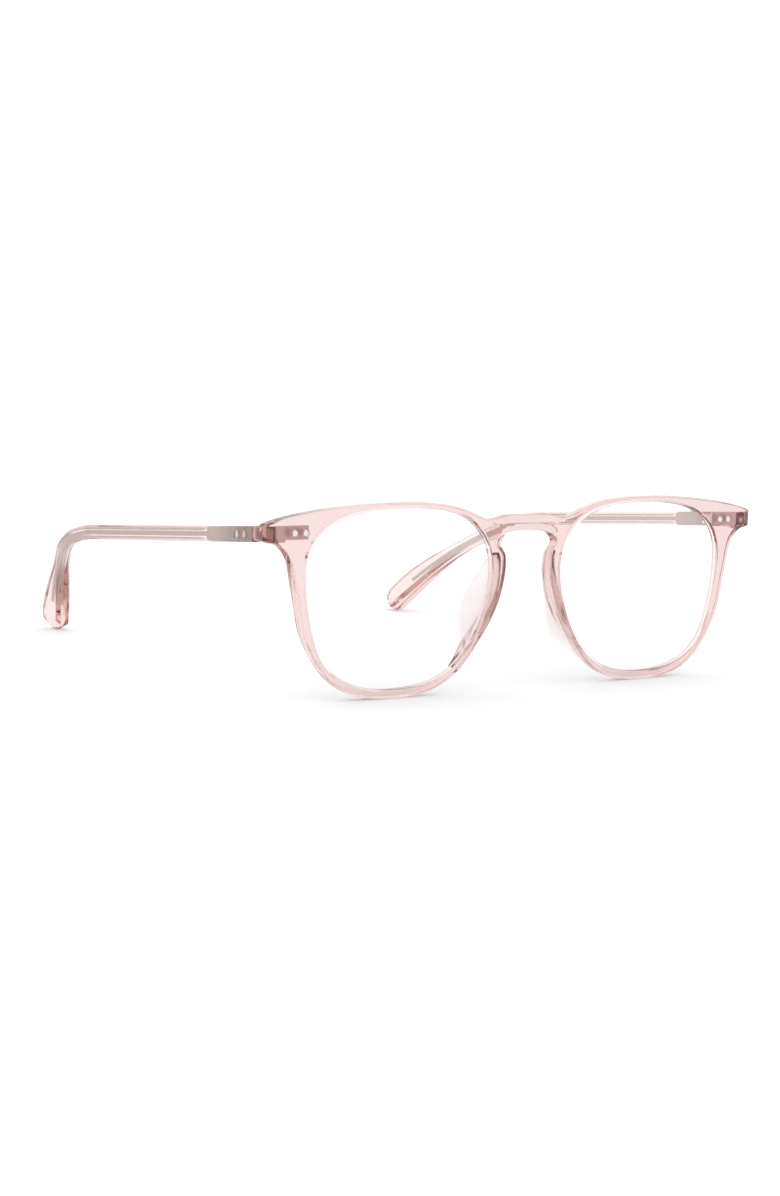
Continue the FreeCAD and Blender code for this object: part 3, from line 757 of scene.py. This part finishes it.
# Materials
ACETATE = clear_plastic("rose_acetate", 1.49, (0.586, 0.086, 0.03), 136.0, 0.01)
TEMPLE = clear_plastic("rose_temple_acetate", 1.49, (0.66, 0.16, 0.1), 64.0, 0.01)
PAD = clear_plastic("clear_pad", 1.47, (0.5, 0.25, 0.22), 120.0, 0.01)
LENS = clear_plastic("coated_lens", 1.5, (1, 1, 1), 0.0, 0.005)
CORE = metal("core_steel", (0.58, 0.51, 0.47), (0.86, 0.79, 0.75), 0.42, 2.2, (1, 0.6, 1), 0.5)
HINGE = metal("hinge_steel", (0.66, 0.6, 0.57), (0.86, 0.8, 0.77), 0.34, 1.6, (1, 1, 4), 0.25)
RIVET = metal("rivet_steel", (0.78, 0.77, 0.76), (0.95, 0.94, 0.93), 0.3, 2.5, (1, 1, 1), 0.3)
SCREW = metal("screw_steel", (0.5, 0.49, 0.48), (0.7, 0.69, 0.68), 0.28, 3.0, (1, 1, 1), 0.1)

# Pieces
FRONT_RIVETS = (8.1, 2.8)    # the outer rivet, in from the end-piece's outer face, and their pitch
TEMPLE_RIVETS = (4.6, 3.0)   # the first rivet, behind the butt, and their pitch
FRONT_SINK, TEMPLE_SINK = 0.25, 0.4      # the domes' depth in the acetate
PIVOT_X, PLATE_INSET, HINGE_PLATE = 67.55, 0.4, 0.8
PLATE_Y = float(wrap_y(PIVOT_X)) + THICK - PLATE_INSET + HINGE_PLATE
make_front(ACETATE)
for side, word in ((1, "left"), (-1, "right")):
    make_lens(side, "clear_lens_" + word, LENS)
    make_pad(side, "bonded_nose_pad_" + word, PAD)
    make_temple(side, "acetate_temple_" + word, TEMPLE)
    give("core_wire_" + word, CORE)
    give("front_hinge_" + word, HINGE)
    give("temple_hinge_" + word, HINGE)
    give("hinge_screw_" + word, SCREW)
    xs = [END_X - FRONT_RIVETS[0] - FRONT_RIVETS[1] * i for i in range(2)]
    fronts = [(side * x, float(wrap_y(x)), END_Z) for x in xs]
    make_rivets("domed_front_rivets_" + word, "front_rivets_" + word, fronts, (0, 1, 0),
                PLATE_Y - fronts[0][1], FRONT_SINK, "front", RIVET)
    ys = [BUTT_Y + TEMPLE_RIVETS[0] + TEMPLE_RIVETS[1] * i for i in range(2)]
    sides = [(side * END_X, y, temple_point(y).z) for y in ys]
    make_rivets("domed_temple_rivets_" + word, "temple_rivets_" + word, sides, (-side, 0, 0),
                T_THICK - PLATE_INSET + HINGE_PLATE, TEMPLE_SINK, word + "_temple", RIVET)

# Floor
SIZE, FLOOR_GAP = 12.0, 0.00002
floor_mesh = bpy.data.meshes.new("floor")
floor_mesh.from_pydata([(-SIZE, -SIZE, 0), (SIZE, -SIZE, 0), (SIZE, SIZE, 0), (-SIZE, SIZE, 0)], [],
                       [(0, 1, 2, 3)])
floor = bpy.data.objects.new("floor", floor_mesh)
floor.location.z = CAD_BOUNDS[0][2] - FLOOR_GAP
bpy.context.scene.collection.objects.link(floor)
paper, nodes, links, shader = new_material("white_paper")
shader.inputs["Base Color"].default_value = (0.97, 0.97, 0.975, 1)
shader.inputs["Emission Color"].default_value = (1, 1, 1, 1)
shader.inputs["Emission Strength"].default_value = 0.085
shader.inputs["Roughness"].default_value = 0.9
shader.inputs["Specular IOR Level"].default_value = 0.1
floor_mesh.materials.append(paper)

# Light: an evenly white room, which clear plastic shows without dark edges
world = bpy.data.worlds.new("studio")
bpy.context.scene.world = world
world.use_nodes = True
nodes, links = world.node_tree.nodes, world.node_tree.links
background = nodes["Background"] if "Background" in nodes else nodes.new("ShaderNodeBackground")
background.inputs["Color"].default_value = (1, 1, 1, 1)
background.inputs["Strength"].default_value = 1.09

# Colours as they are, and enough bounces for light that is caught inside the plastic
scene = bpy.context.scene
scene.view_settings.view_transform = "Standard"
scene.view_settings.look = "None"
scene.cycles.max_bounces = 64
scene.cycles.transmission_bounces = 48
scene.cycles.glossy_bounces = 48
scene.cycles.diffuse_bounces = 6
